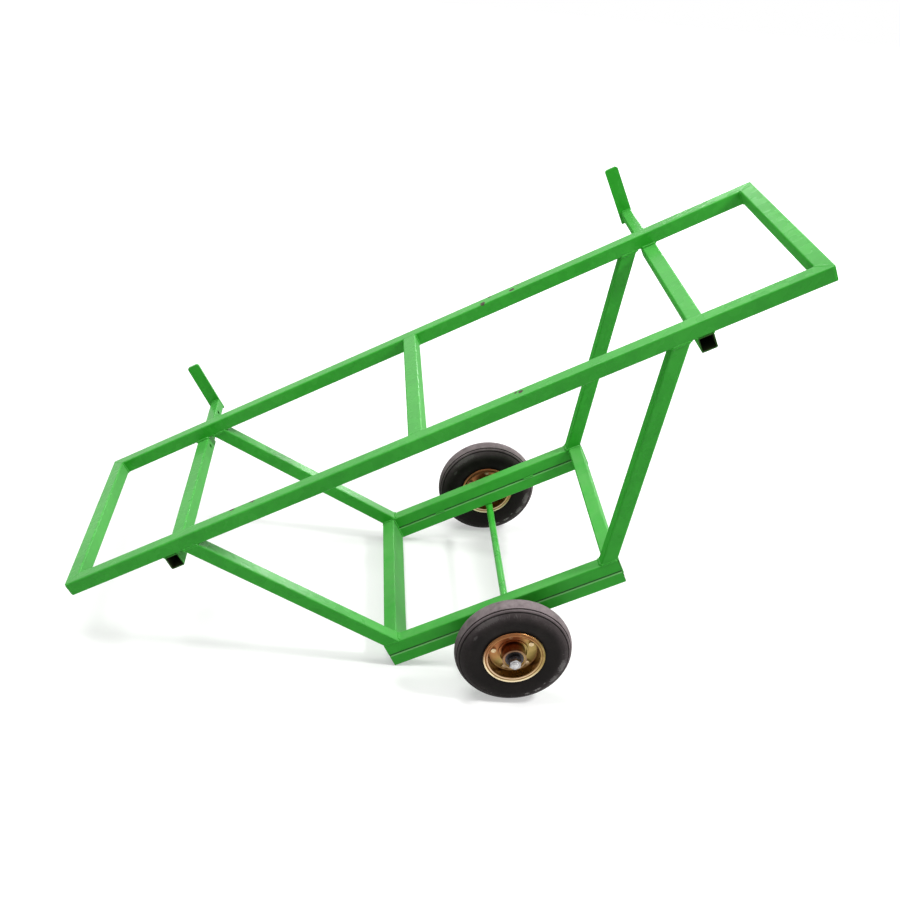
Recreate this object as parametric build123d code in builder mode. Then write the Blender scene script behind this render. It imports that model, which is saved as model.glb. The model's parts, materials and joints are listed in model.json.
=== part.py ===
from build123d import *
import os
from math import asin, atan2, cos, degrees, hypot, radians, sin

# Two-wheeled site cart for long boards, in millimetres. A welded frame of square steel tube stands on
# two pneumatic wheels, and two stakes pull out of the far side. +X points to the raised end of the deck,
# +Y to the side where the stakes come out and +Z is up. The origin is on the floor, midway between the
# wheels. The cart is drawn with its deck level and saved as it rests, leaning on its left foot.

# Square tube of the frame, with corners rounded in proportion to its wall
tube = 40.0
tube_wall = 3.0
corner_ratio = 1.5

# Deck
deck_length = 2100.0
deck_width = 700.0
deck_corner_radius = 8.0
bearer_inset = 295.0

# Legs and lower frame
leg_rise = 525.0
leg_bearer_gap = 15.0
foot_length = 700.0
sill_levels = ("lower", "upper")

# Stakes that slide in the bearers, set by a loose pin through one of their holes
stake_slack = 2.0
stake_play = 0.3
stake_wall = 2.5
stake_length = 600.0
pin_hole = 14.0
pin_setback = 60.0
stake_first_hole = 73.0
stake_hole_pitch = 60.0
stake_tail = 100.0
stake_setting = {"left": 4, "right": 5}
post_width = 40.0
post_thickness = 8.0
post_height = 176.0
post_corner_radius = 8.0

# Axle
axle_diameter = 22.0
axle_shoulder = 1.0
thread_proud = 4.0
end_chamfer = 1.5
wheel_gap = 61.0

# Axle nut, washer and outer collar
nut_flats = 30.0
nut_height = 16.0
nut_bevel = 2.0
washer_diameter = 37.0
washer_thickness = 3.0
collar_wall = 4.0
hub_end_clearance = 2.5

# Ball bearings
bearing_outer = 52.0
bearing_width = 15.0
race_wall = 4.8
ball_diameter = 9.4
ball_count = 7
seal_thickness = 1.5

# Hub
hub_length = 89.0
hub_wall = 7.0
hub_flange_thickness = 5.0
hub_flange_edge = 8.0
seat_shoulder = 3.0
bearing_recess = 4.0
mouth_margin = 2.5

# Rim, two pressed halves bolted through the flange of the hub
rim_sheet = 3.0
rim_width = 73.0
rim_collar_gap = 7.0
rim_collar_reach = 11.0
rim_disc_margin = 14.0
rim_taper = 3.5
rim_groove_rise = 7.0
rim_groove_depth = 3.0
rim_lip_rise = 5.5
rim_shoulder_inset = 0.5
rim_bend = 2.8
rim_well_bend = 5.0

# Bolts of the rim
bolt_offset = 15.0
bolt_count = 5
bolt_start = 5.0
bolt_diameter = 8.0
bolt_flats = 13.0
bolt_head = 5.5
bolt_nut = 6.5
bolt_proud = 3.0

# Tyre
tyre_diameter = 325.0
tyre_bulge = 2.5
tyre_wall = 7.0
bead_width = 11.0
bead_height = 12.0
groove_size = 2.4
groove_angles = (42.0, 58.0)
inner_tube_wall = 2.0

# Valve on the side of the wheel that faces the frame
valve_angle = 257.0
valve_boot_diameter = 11.0
valve_boot_length = 15.0
valve_stem_diameter = 7.6
valve_hub_gap = 12.0

# Clearances
running_fit = 0.03
ball_play = 0.08
loose_fit = 0.3

# Heights and places that follow from the sizes above
side_sign = {"near": -1, "far": 1}
end_sign = {"left": -1, "right": 1}
axle_z = tyre_diameter / 2
sill_bottom = axle_z + axle_diameter / 2
sill_depth = len(sill_levels) * tube
sill_top = sill_bottom + sill_depth
deck_bottom = sill_top + leg_rise
deck_mid = deck_bottom + tube / 2
bearer_bottom = deck_bottom - tube
bearer_z = deck_bottom - tube / 2
bearer_x = deck_length / 2 - bearer_inset - tube / 2
rail_y = (deck_width - tube) / 2
inside_width = deck_width - 2 * tube
pin_y = deck_width / 2 - pin_setback

# At rest the cart leans about its axle until the left ends of its sills meet the floor
heel_reach = hypot(foot_length, axle_diameter) / 2
lean = degrees(asin(axle_z / heel_reach) + atan2(axle_diameter, foot_length))
resting = Pos(0, 0, axle_z) * Rot(0, -lean, 0) * Pos(0, 0, -axle_z)

os.makedirs("parts", exist_ok=True)


def save(piece, name):
    """Turns a piece from the level deck to the cart's resting pose and writes it."""
    rested = resting * piece.part
    rested.label = name
    export_step(rested, f"parts/{name}.step")


def along_x(x, y, z):
    return Plane(origin=(x, y, z), x_dir=(0, 1, 0), z_dir=(1, 0, 0))


def along_y(x, y, z):
    return Plane(origin=(x, y, z), x_dir=(1, 0, 0), z_dir=(0, 1, 0))


def hollow_tube(plane, length, width, height, wall, cuts=()):
    """A rectangular tube along the plane's normal, trimmed to the upper side of each cutting plane."""
    with BuildPart() as piece:
        with BuildSketch(plane):
            RectangleRounded(width, height, corner_ratio * wall)
            inner_corner = (corner_ratio - 1) * wall
            RectangleRounded(width - 2 * wall, height - 2 * wall, inner_corner, mode=Mode.SUBTRACT)
        extrude(amount=length)
        for cut in cuts:
            split(bisect_by=cut, keep=Keep.TOP)
    return piece


def frame_tube(plane, length, cuts=()):
    return hollow_tube(plane, length, tube, tube, tube_wall, cuts)


# Deck: two rails and two end bars mitred at the corners and ground round there, and a bar across the middle
def mitre(end, side, toward_rail):
    """The upright plane through a corner of the deck that faces the rail or the end bar."""
    corner = (end_sign[end] * deck_length / 2, side_sign[side] * deck_width / 2, deck_mid)
    facing = 1 if toward_rail else -1
    return Plane(origin=corner, z_dir=(-facing * end_sign[end], facing * side_sign[side], 0))


def ground_round(bar):
    """A bar of the deck, kept within the rounded outline of the corners."""
    with BuildPart() as piece:
        add(bar.part)
        with BuildSketch(Plane.XY.offset(bearer_bottom)):
            RectangleRounded(deck_length, deck_width, deck_corner_radius)
        extrude(amount=3 * tube, mode=Mode.INTERSECT)
    return piece


for side, sign in side_sign.items():
    start = along_x(-deck_length / 2, sign * rail_y, deck_mid)
    rail = frame_tube(start, deck_length, [mitre(end, side, True) for end in end_sign])
    save(ground_round(rail), f"rail_{side}")

for end, sign in end_sign.items():
    start = along_y(sign * (deck_length - tube) / 2, -deck_width / 2, deck_mid)
    end_bar = frame_tube(start, deck_width, [mitre(end, side, False) for side in side_sign])
    save(ground_round(end_bar), f"end_bar_{end}")

middle_bar = frame_tube(along_y(0, -inside_width / 2, deck_mid), inside_width)
save(middle_bar, "deck_middle_bar")

# Bearers: open tubes under the rails, with a pin hole near the far end of each
for end, sign in end_sign.items():
    bearer_tube = frame_tube(along_y(sign * bearer_x, -deck_width / 2, bearer_z), deck_width)
    with BuildPart() as bearer:
        add(bearer_tube.part)
        with BuildSketch(along_x(sign * bearer_x, pin_y, bearer_z)):
            Circle(pin_hole / 2)
        extrude(amount=tube, both=True, mode=Mode.SUBTRACT)
    save(bearer, f"bearer_{end}")

# Legs: sloping tubes cut level at both ends, from the ends of the sills up to the rails beside the bearers
leg_top_x = bearer_x - tube / 2 - leg_bearer_gap
leg_run = leg_top_x - foot_length / 2
leg_length = hypot(leg_run, leg_rise)
leg_cut = tube / sin(atan2(leg_rise, leg_run))
sill_cut = Plane(origin=(0, 0, sill_top), z_dir=(0, 0, 1))
deck_cut = Plane(origin=(0, 0, deck_bottom), z_dir=(0, 0, -1))
for side, side_way in side_sign.items():
    for end, end_way in end_sign.items():
        foot = Vector(end_way * (foot_length - leg_cut) / 2, side_way * rail_y, sill_top)
        slope = Vector(end_way * leg_run, 0, leg_rise).normalized()
        start = Plane(origin=foot - slope * tube, x_dir=(0, 1, 0), z_dir=slope)
        leg = frame_tube(start, leg_length + 2 * tube, (sill_cut, deck_cut))
        save(leg, f"leg_{side}_{end}")

# Lower frame: stacked tubes along each side, and a deep bar across each end
for side, sign in side_sign.items():
    for layer, level in enumerate(sill_levels):
        start = along_x(-foot_length / 2, sign * rail_y, sill_bottom + (layer + 0.5) * tube)
        sill = frame_tube(start, foot_length)
        save(sill, f"sill_{side}_{level}")

for end, sign in end_sign.items():
    start = along_y(sign * (foot_length - tube) / 2, -inside_width / 2, sill_bottom + sill_depth / 2)
    cross_bar = hollow_tube(start, inside_width, tube, sill_depth, tube_wall)
    save(cross_bar, f"cross_bar_{end}")

# Stakes: a drilled tube in each bearer, resting on its floor. The flat bar that stands on the outer end is
# flush with the right side of the tube and rounded at the top.
stake_size = tube - 2 * tube_wall - stake_slack
stake_z = bearer_bottom + tube_wall + stake_play + stake_size / 2
stake_hole_count = 1 + int((stake_length - stake_first_hole - stake_tail) / stake_hole_pitch)
for end, sign in end_sign.items():
    stake_x = sign * bearer_x
    post_y = pin_y + stake_first_hole + stake_setting[end] * stake_hole_pitch
    start = along_y(stake_x, post_y - stake_length, stake_z)
    plain_tube = hollow_tube(start, stake_length, stake_size, stake_size, stake_wall)
    with BuildPart() as stake_tube:
        add(plain_tube.part)
        with BuildSketch(along_x(stake_x, post_y - stake_first_hole, bearer_z)):
            with Locations(*[(-row * stake_hole_pitch, 0) for row in range(stake_hole_count)]):
                Circle(pin_hole / 2)
        extrude(amount=stake_size, both=True, mode=Mode.SUBTRACT)
    save(stake_tube, f"stake_tube_{end}")

    post_x = stake_x - (post_width - stake_size) / 2
    with BuildPart() as stake_post:
        with BuildSketch(along_y(post_x, post_y, bearer_bottom + post_height / 2)):
            post_outline = Rectangle(post_width, post_height)
            fillet(post_outline.vertices().group_by(Axis.Y)[0], post_corner_radius)
        extrude(amount=post_thickness)
    save(stake_post, f"stake_post_{end}")

# Radii of the wheel, from the journal outwards
journal_radius = axle_diameter / 2 - axle_shoulder
inner_race_bore = journal_radius + running_fit
inner_race_radius = inner_race_bore + race_wall
seat_radius = bearing_outer / 2
outer_race_bore = seat_radius - race_wall
ball_circle = (inner_race_radius + outer_race_bore) / 2
hub_radius = seat_radius + hub_wall
rim_collar_radius = hub_radius + rim_collar_gap
bolt_circle = rim_collar_radius + bolt_offset
rim_well_radius = bolt_circle + rim_disc_margin
rim_seat_radius = rim_well_radius + rim_taper
rim_groove_radius = rim_seat_radius + rim_groove_rise
rim_lip_radius = rim_groove_radius + rim_lip_rise

# Distances along the axle, from the middle of a wheel outwards
rim_disc = (hub_flange_thickness + rim_sheet) / 2
rim_face = hub_flange_thickness / 2 + rim_sheet
rim_shoulder = rim_width / 2 - rim_shoulder_inset
rim_groove = rim_width / 2 - rim_groove_depth
hub_end = hub_length / 2
race_out = hub_end - bearing_recess
race_in = race_out - bearing_width
race_mid = (race_in + race_out) / 2
washer_in = hub_end + hub_end_clearance
nut_in = washer_in + washer_thickness
axle_out = nut_in + nut_height + thread_proud

# Section of the tyre
section_radius = rim_width / 2 + tyre_bulge
section_centre = tyre_diameter / 2 - section_radius
wheel_y = deck_width / 2 + wheel_gap + section_radius
wheel_axis = Axis((0, 0, axle_z), (0, 1, 0))

# Axle: a round bar under the sills, with a thinner journal for each wheel
journal_start = wheel_y - race_out
axle_tip = wheel_y + axle_out
axle_half = [
    (0, axle_diameter / 2),
    (journal_start, axle_diameter / 2),
    (journal_start, journal_radius),
    (axle_tip - end_chamfer, journal_radius),
    (axle_tip, journal_radius - end_chamfer),
    (axle_tip, 0),
]
with BuildPart() as axle:
    with BuildSketch(along_x(0, 0, axle_z)):
        with BuildLine():
            Polyline(*axle_half)
            Polyline(*[(-along, radius) for along, radius in axle_half])
            Line((-axle_tip, 0), (axle_tip, 0))
        make_face()
    revolve(axis=wheel_axis)
save(axle, "axle")


def wheel_section(sign):
    """The half plane above the axle, with the outboard side of the wheel along its first direction."""
    return Plane(origin=(0, sign * wheel_y, axle_z), x_dir=(0, sign, 0), z_dir=(sign, 0, 0))


def wheel_face(sign, along):
    """A plane square to the axle that looks outboard, at a distance from the middle of the wheel."""
    return Plane(origin=(0, sign * (wheel_y + along), axle_z), x_dir=(1, 0, 0), z_dir=(0, sign, 0))


def block(low, high, inner, outer, mode=Mode.ADD):
    """A rectangle in the section of the wheel, between two places on the axle and two radii."""
    with Locations(((low + high) / 2, (inner + outer) / 2)):
        Rectangle(high - low, outer - inner, mode=mode)


def make_ring(sign, spans):
    """Plain rings round the axle."""
    with BuildPart() as piece:
        with BuildSketch(wheel_section(sign)):
            for span in spans:
                block(*span)
        revolve(axis=wheel_axis)
    return piece


# Tyre and inner tube: a round carcass on two beads that sit in the rim, and a tube that fills the inside
def barrel_radius(along):
    """The outside of the rim's sloping barrel."""
    slope = rim_taper / (rim_shoulder - rim_disc)
    return rim_well_radius + slope * (along - rim_disc) + hypot(1, slope) * rim_sheet / 2


bead_out = rim_groove - rim_sheet / 2 - loose_fit
bead_in = bead_out - bead_width
bead_out_radius = barrel_radius(bead_out) + loose_fit
bead_in_radius = barrel_radius(bead_in) + loose_fit
bead_top_radius = bead_out_radius + bead_height


def air_space(margin, mode):
    """The space between the beads and under the carcass, drawn smaller by a margin."""
    with Locations((0, section_centre)):
        Circle(section_radius - tyre_wall - margin, mode=mode)
    block(margin - bead_in, bead_in - margin, bead_in_radius + margin, section_centre, mode)


def make_tyre(sign):
    with BuildPart() as tyre:
        with BuildSketch(wheel_section(sign)):
            with BuildLine():
                CenterArc((0, section_centre), section_radius, 0, 180)
                for way in (1, -1):
                    bead_top = (way * bead_out, bead_top_radius)
                    bead_heel = (way * bead_out, bead_out_radius)
                    TangentArc((way * section_radius, section_centre), bead_top, tangent=(0, -1))
                    Polyline(bead_top, bead_heel, (way * bead_in, bead_in_radius))
                Line((-bead_in, bead_in_radius), (bead_in, bead_in_radius))
            make_face()
            air_space(0, Mode.SUBTRACT)
            for angle in groove_angles:
                groove_side = section_radius * cos(radians(angle))
                groove_radius = section_centre + section_radius * sin(radians(angle))
                with Locations((groove_side, groove_radius), (-groove_side, groove_radius)):
                    Circle(groove_size / 2, mode=Mode.SUBTRACT)
        revolve(axis=wheel_axis)
    return tyre


def make_inner_tube(sign):
    with BuildPart() as inner_tube:
        with BuildSketch(wheel_section(sign)):
            air_space(loose_fit, Mode.ADD)
            air_space(loose_fit + inner_tube_wall, Mode.SUBTRACT)
        revolve(axis=wheel_axis)
    return inner_tube


# Valve: a rubber boot and a metal stem that point from the inner tube towards the axle
valve_way = Vector(cos(radians(valve_angle)), 0, sin(radians(valve_angle)))
valve_reach = (rim_disc + rim_groove) / 2
valve_radius = bead_in_radius - loose_fit
valve_stem_length = valve_radius - valve_boot_length - hub_radius - valve_hub_gap


def valve_plane(sign):
    root = Vector(0, sign * (wheel_y - valve_reach), axle_z) + valve_way * valve_radius
    return Plane(origin=root, x_dir=(0, 1, 0), z_dir=-valve_way)


def make_valve(sign):
    with BuildPart() as valve:
        with BuildSketch(valve_plane(sign)):
            Circle(valve_boot_diameter / 2)
        extrude(amount=valve_boot_length)
        with BuildSketch(valve_plane(sign).offset(valve_boot_length)):
            Circle(valve_stem_diameter / 2)
        extrude(amount=valve_stem_length)
    return valve


# Rim: a collar round the hub, a flat disc, a sloping barrel and a flange with a groove and a lip
def make_rim_half(sign, way):
    """The outboard half of the rim, way 1, or the half that faces the frame, way -1."""
    path = [
        (rim_collar_reach, rim_collar_radius),
        (rim_disc, rim_collar_radius),
        (rim_disc, rim_well_radius),
        (rim_shoulder, rim_seat_radius),
        (rim_groove, rim_groove_radius),
        (rim_width / 2, rim_lip_radius),
    ]
    bends = (rim_bend, rim_well_bend, rim_bend, rim_bend)
    with BuildPart() as rim_half:
        with BuildSketch(wheel_section(sign)):
            with BuildLine():
                FilletPolyline(*[(way * along, radius) for along, radius in path], radius=bends)
            trace(line_width=rim_sheet)
        revolve(axis=wheel_axis)
        with BuildSketch(wheel_face(sign, way * rim_disc)):
            with PolarLocations(bolt_circle, bolt_count, bolt_start):
                Circle(bolt_diameter / 2 + loose_fit)
        extrude(amount=rim_sheet, both=True, mode=Mode.SUBTRACT)
        if way < 0:
            with BuildSketch(valve_plane(sign)):
                Circle(valve_boot_diameter / 2 + loose_fit)
            extrude(amount=valve_boot_length / 2, both=True, mode=Mode.SUBTRACT)
    return rim_half


# Hub: a tube with a flange round its middle and a seat for a bearing in each end
def make_hub(sign):
    mouth_radius = seat_radius + mouth_margin
    bore_radius = seat_radius - seat_shoulder
    flange_radius = bolt_circle + hub_flange_edge
    flange_side = hub_flange_thickness / 2
    with BuildPart() as hub:
        with BuildSketch(wheel_section(sign)):
            block(-hub_end, hub_end, bore_radius, hub_radius)
            block(-flange_side, flange_side, bore_radius, flange_radius)
            for way in (1, -1):
                block(way * race_in, way * race_out, bore_radius, seat_radius + running_fit, Mode.SUBTRACT)
                block(way * race_out, way * hub_end, bore_radius, mouth_radius, Mode.SUBTRACT)
        revolve(axis=wheel_axis)
        with BuildSketch(wheel_face(sign, 0)):
            with PolarLocations(bolt_circle, bolt_count, bolt_start):
                Circle(bolt_diameter / 2 + loose_fit)
        extrude(amount=hub_flange_thickness, both=True, mode=Mode.SUBTRACT)
    return hub


# Rim bolts with their heads outboard, and their nuts on the side of the frame
def make_rim_bolts(sign):
    with BuildPart() as rim_bolts:
        with BuildSketch(wheel_face(sign, rim_face)):
            with PolarLocations(bolt_circle, bolt_count, bolt_start):
                RegularPolygon(bolt_flats / 2, 6, major_radius=False)
        extrude(amount=bolt_head)
        with BuildSketch(wheel_face(sign, rim_face)):
            with PolarLocations(bolt_circle, bolt_count, bolt_start):
                Circle(bolt_diameter / 2)
        extrude(amount=-(2 * rim_face + bolt_nut + bolt_proud))
    return rim_bolts


def make_rim_nuts(sign):
    with BuildPart() as rim_nuts:
        with BuildSketch(wheel_face(sign, -rim_face)):
            with PolarLocations(bolt_circle, bolt_count, bolt_start):
                RegularPolygon(bolt_flats / 2, 6, major_radius=False)
                Circle(bolt_diameter / 2 + running_fit, mode=Mode.SUBTRACT)
        extrude(amount=-bolt_nut)
    return rim_nuts


# Ball bearings, one in each end of the hub
def make_races(sign, inner, outer):
    """The grooved races of both bearings of a wheel, between two radii."""
    with BuildPart() as races:
        with BuildSketch(wheel_section(sign)):
            for way in (1, -1):
                block(way * race_in, way * race_out, inner, outer)
                with Locations((way * race_mid, ball_circle)):
                    Circle(ball_diameter / 2 + ball_play, mode=Mode.SUBTRACT)
        revolve(axis=wheel_axis)
    return races


def make_balls(sign):
    with BuildPart() as balls:
        for way in (1, -1):
            with Locations(wheel_face(sign, way * race_mid)):
                with PolarLocations(ball_circle, ball_count):
                    Sphere(ball_diameter / 2)
    return balls


def make_seals(sign):
    inner = inner_race_radius + loose_fit
    outer = outer_race_bore - running_fit
    spans = []
    for way in (1, -1):
        spans.append((way * race_in, way * (race_in + seal_thickness), inner, outer))
        spans.append((way * (race_out - seal_thickness), way * race_out, inner, outer))
    return make_ring(sign, spans)


# Axle nut: a hexagon with bevelled corners on the threaded end
def make_axle_nut(sign):
    corner_radius = nut_flats / 2 / cos(radians(30))
    with BuildPart() as axle_nut:
        with BuildSketch(wheel_face(sign, nut_in)):
            RegularPolygon(nut_flats / 2, 6, major_radius=False)
            Circle(inner_race_bore, mode=Mode.SUBTRACT)
        extrude(amount=nut_height)
        with BuildSketch(wheel_section(sign)):
            with BuildLine():
                Polyline(
                    (nut_in, 0),
                    (nut_in, corner_radius),
                    (nut_in + nut_height - nut_bevel / 2, corner_radius),
                    (nut_in + nut_height, corner_radius - nut_bevel),
                    (nut_in + nut_height, 0),
                    close=True,
                )
            make_face()
        revolve(axis=wheel_axis, mode=Mode.INTERSECT)
    return axle_nut


collar_radius = inner_race_bore + collar_wall
for side, sign in side_sign.items():
    save(make_tyre(sign), f"tyre_{side}")
    save(make_inner_tube(sign), f"inner_tube_{side}")
    save(make_valve(sign), f"valve_{side}")
    save(make_rim_half(sign, 1), f"rim_outer_{side}")
    save(make_rim_half(sign, -1), f"rim_inner_{side}")
    save(make_hub(sign), f"hub_{side}")
    save(make_rim_bolts(sign), f"rim_bolts_{side}")
    save(make_rim_nuts(sign), f"rim_nuts_{side}")
    save(make_races(sign, outer_race_bore, seat_radius), f"outer_races_{side}")
    save(make_races(sign, inner_race_bore, inner_race_radius), f"inner_races_{side}")
    save(make_balls(sign), f"bearing_balls_{side}")
    save(make_seals(sign), f"bearing_seals_{side}")
    save(make_ring(sign, [(-race_in, race_in, inner_race_bore, collar_radius)]), f"spacer_sleeve_{side}")
    save(make_ring(sign, [(race_out, washer_in, inner_race_bore, collar_radius)]), f"outer_collar_{side}")
    washer = make_ring(sign, [(washer_in, nut_in, inner_race_bore, washer_diameter / 2)])
    save(washer, f"axle_washer_{side}")
    save(make_axle_nut(sign), f"axle_nut_{side}")
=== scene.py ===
import json
import math
import random

import bpy
from mathutils import Matrix, Vector


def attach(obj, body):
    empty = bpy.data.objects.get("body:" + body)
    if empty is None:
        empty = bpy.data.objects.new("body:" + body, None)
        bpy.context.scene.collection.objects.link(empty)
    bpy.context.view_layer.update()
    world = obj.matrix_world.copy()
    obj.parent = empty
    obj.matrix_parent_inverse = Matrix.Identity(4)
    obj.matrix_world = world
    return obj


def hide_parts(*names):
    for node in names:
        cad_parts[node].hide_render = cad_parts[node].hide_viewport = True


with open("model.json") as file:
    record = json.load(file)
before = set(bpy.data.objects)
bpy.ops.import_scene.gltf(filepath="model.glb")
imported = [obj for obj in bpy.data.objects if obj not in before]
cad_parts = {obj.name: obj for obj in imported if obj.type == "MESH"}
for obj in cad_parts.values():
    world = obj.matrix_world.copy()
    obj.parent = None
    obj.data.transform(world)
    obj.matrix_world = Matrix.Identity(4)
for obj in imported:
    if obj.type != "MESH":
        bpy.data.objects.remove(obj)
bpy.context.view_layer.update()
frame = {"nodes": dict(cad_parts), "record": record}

nodes = frame["nodes"]
mounts = {mount["name"]: mount for mount in frame["record"]["mounts"]}
random.seed(7)

# The cart is described with its deck level, in millimetres, and turned about its axle to the pose in
# which it rests, leaning on the left ends of its sills. Its frame is the same in all four quarters.
MM = 0.001
DEGREES = 180 / math.pi
AXLE_Z = 162.5
WHEEL_Y = 450.0
RAIL_IN, RAIL_OUT = 310.0, 350.0
DECK_BOTTOM, DECK_TOP = 778.5, 818.5
DECK_END_IN, DECK_END = 1010.0, 1050.0
MIDDLE_BAR_HALF = 20.0
BEARER_IN, BEARER_X, BEARER_OUT, BEARER_Z = 715.0, 735.0, 755.0, 758.5
LEG_TOP_IN, LEG_TOP_OUT, LEG_FOOT_IN = 651.9, 700.0, 301.9
CROSS_IN, FOOT_END = 310.0, 350.0
SILL_Y, SILL_TUBES_Z = 330.0, (193.5, 233.5)
SILL_BOTTOM, SILL_SEAM, SILL_TOP = 173.5, 213.5, 253.5
SECTION_RADIUS, SECTION_CENTRE, TYRE_WALL = 39.0, 123.5, 7.0
deck_up = Vector(mounts["deck_top"]["axis"])
lean = math.atan2(-deck_up.x, deck_up.z)
pivot = Matrix.Translation((0, 0, AXLE_Z * MM))
resting = pivot @ Matrix.Rotation(-lean, 4, "Y") @ pivot.inverted()


def rested(point):
    """A point of the level cart in millimetres, as a place in the frame in metres."""
    return resting @ (Vector(point) * MM)


# Materials


class Graph:
    """A node tree with short names for the nodes that it is made of."""

    def __init__(self, tree):
        self.tree = tree

    def add(self, kind, inputs=None, **settings):
        node = self.tree.nodes.new(kind)
        for name, value in settings.items():
            setattr(node, name, value)
        for key, value in (inputs or {}).items():
            self.feed(node.inputs[key], value)
        return node

    def feed(self, socket, value):
        if isinstance(value, bpy.types.NodeSocket):
            self.tree.links.new(value, socket)
        else:
            socket.default_value = value

    def math(self, operation, first, second=0.0, third=0.0, clamp=False):
        inputs = {0: first, 1: second, 2: third}
        return self.add("ShaderNodeMath", inputs, operation=operation, use_clamp=clamp).outputs[0]

    def chain(self, operation, first, *others):
        for other in others:
            first = self.math(operation, first, other)
        return first

    def times(self, *values):
        """The product of several values."""
        return self.chain("MULTIPLY", *values)

    def total(self, *values):
        """The sum of several values."""
        return self.chain("ADD", *values)

    def largest(self, *values):
        """The largest of several values."""
        return self.chain("MAXIMUM", *values)

    def squares(self, first, second):
        """The sum of two squares."""
        return self.total(self.times(first, first), self.times(second, second))

    def split(self, vector):
        return self.add("ShaderNodeSeparateXYZ", {0: vector}).outputs

    def span(self, value, low, high, out_low=0.0, out_high=1.0, smooth=True):
        """Carries a value from one range to another and holds it at the ends."""
        inputs = {0: value, 1: low, 2: high, 3: out_low, 4: out_high}
        kind = "SMOOTHSTEP" if smooth else "LINEAR"
        return self.add("ShaderNodeMapRange", inputs, interpolation_type=kind).outputs[0]

    def band(self, value, start, full, fade, stop):
        """1 between full and fade, with soft edges out to start and stop."""
        return self.times(self.span(value, start, full), self.span(value, stop, fade))

    def near(self, value, middles, half):
        """1 where a value lies within half of one of the middles."""
        return self.largest(*[self.math("COMPARE", value, middle, half) for middle in middles])

    def seen(self):
        """1 for rays from the camera, also by way of a mirror or glass, and 0 for those that gather light."""
        path = self.add("ShaderNodeLightPath").outputs
        return self.largest(path["Is Camera Ray"], path["Is Glossy Ray"], path["Is Transmission Ray"])


class Finish(Graph):
    """A material, with its textures placed by the coordinates of the resting cart."""

    def __init__(self, name):
        self.material = bpy.data.materials.new(name)
        self.material.use_nodes = True
        super().__init__(self.material.node_tree)
        self.shader = self.tree.nodes["Principled BSDF"]
        self.place = self.add("ShaderNodeTexCoord").outputs["Object"]

    def set(self, **values):
        for name, value in values.items():
            self.feed(self.shader.inputs[name.replace("_", " ")], value)

    def level(self):
        """Coordinates of the cart with its deck level, in metres."""
        turn = Matrix.Rotation(lean, 3, "Y")
        centre = Vector((0, 0, AXLE_Z * MM))
        inputs = {"Vector": self.place, "Location": centre - turn @ centre, "Rotation": (0, lean, 0)}
        return self.add("ShaderNodeMapping", inputs).outputs[0]

    def wheel_place(self):
        """Angle round the axle, then distance from the middle of a wheel and from the axle, in metres."""
        x, y, z = self.split(self.place)
        height = self.math("SUBTRACT", z, AXLE_Z * MM)
        across = self.math("ABSOLUTE", y)
        out = self.math("ABSOLUTE", self.math("SUBTRACT", across, WHEEL_Y * MM))
        return self.math("ARCTAN2", height, x), out, self.math("SQRT", self.squares(x, height))

    def noise(self, scale, detail=3.0, roughness=0.55, distortion=0.0, where=None):
        inputs = {"Vector": where or self.place, "Scale": scale, "Detail": detail,
                  "Roughness": roughness, "Distortion": distortion}
        return self.add("ShaderNodeTexNoise", inputs).outputs[0]

    def rings(self, radius, scale, distortion=0.0):
        """Fine rings about the axle."""
        line = self.add("ShaderNodeCombineXYZ", {0: radius}).outputs[0]
        inputs = {"Vector": line, "Scale": scale, "Distortion": distortion, "Detail": 2.0}
        return self.add("ShaderNodeTexWave", inputs).outputs[1]

    def ramp(self, value, stops):
        node = self.add("ShaderNodeValToRGB", {0: value})
        elements = node.color_ramp.elements
        while len(elements) < len(stops):
            elements.new(0.5)
        for element, (position, colour) in zip(elements, stops):
            element.position = position
            element.color = (*colour, 1.0)
        return node.outputs[0]

    def mix(self, share, first, second):
        def rgba(value):
            return value if isinstance(value, bpy.types.NodeSocket) else (*value, 1.0)
        inputs = {0: share, 6: rgba(first), 7: rgba(second)}
        return self.add("ShaderNodeMix", inputs, data_type="RGBA").outputs[2]

    def bump(self, height, strength, distance, under=None):
        """A normal for a relief whose depth is a distance in millimetres."""
        inputs = {"Height": height, "Strength": strength, "Distance": distance * MM}
        if under:
            inputs["Normal"] = under
        return self.add("ShaderNodeBump", inputs).outputs[0]


PAINT_GREENS = ((0.32, (0.021, 0.322, 0.018)), (0.50, (0.031, 0.383, 0.026)), (0.68, (0.047, 0.435, 0.038)))
PAINT_SHEEN, PAINT_DUST, PAINT_SEAM_HIGHLIGHT = (0.47, 0.56, 0.45), (0.33, 0.36, 0.27), (0.26, 0.62, 0.23)
SEAM_SHADE, CHIP_STEEL = (0.008, 0.060, 0.008), (0.075, 0.060, 0.046)
BORE_SHADE_BROWNS = (0.010, 0.009, 0.006), (0.034, 0.020, 0.011)
PAINT_GLOSS = 0.18
# Half of a tube's bore with a little to spare, and how far the darkened cut end goes in from its end
BORE_HALF, CUT_DEPTH = 17.1, 0.3
# Places where the paint is knocked off the rails, on the level cart, with the size of each
CHIPS = (
    (-530, -311, 818, 15), (-502, -311, 818, 9), (-468, -311, 818, 17), (-447, -312, 818, 8),
    (285, -328, 818.5, 11), (272, -322, 818.5, 6), (239, 316, 818.5, 12), (262, 342, 818.5, 7),
    (331, 322, 818.5, 13), (352, 344, 818.5, 7),
)


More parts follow.
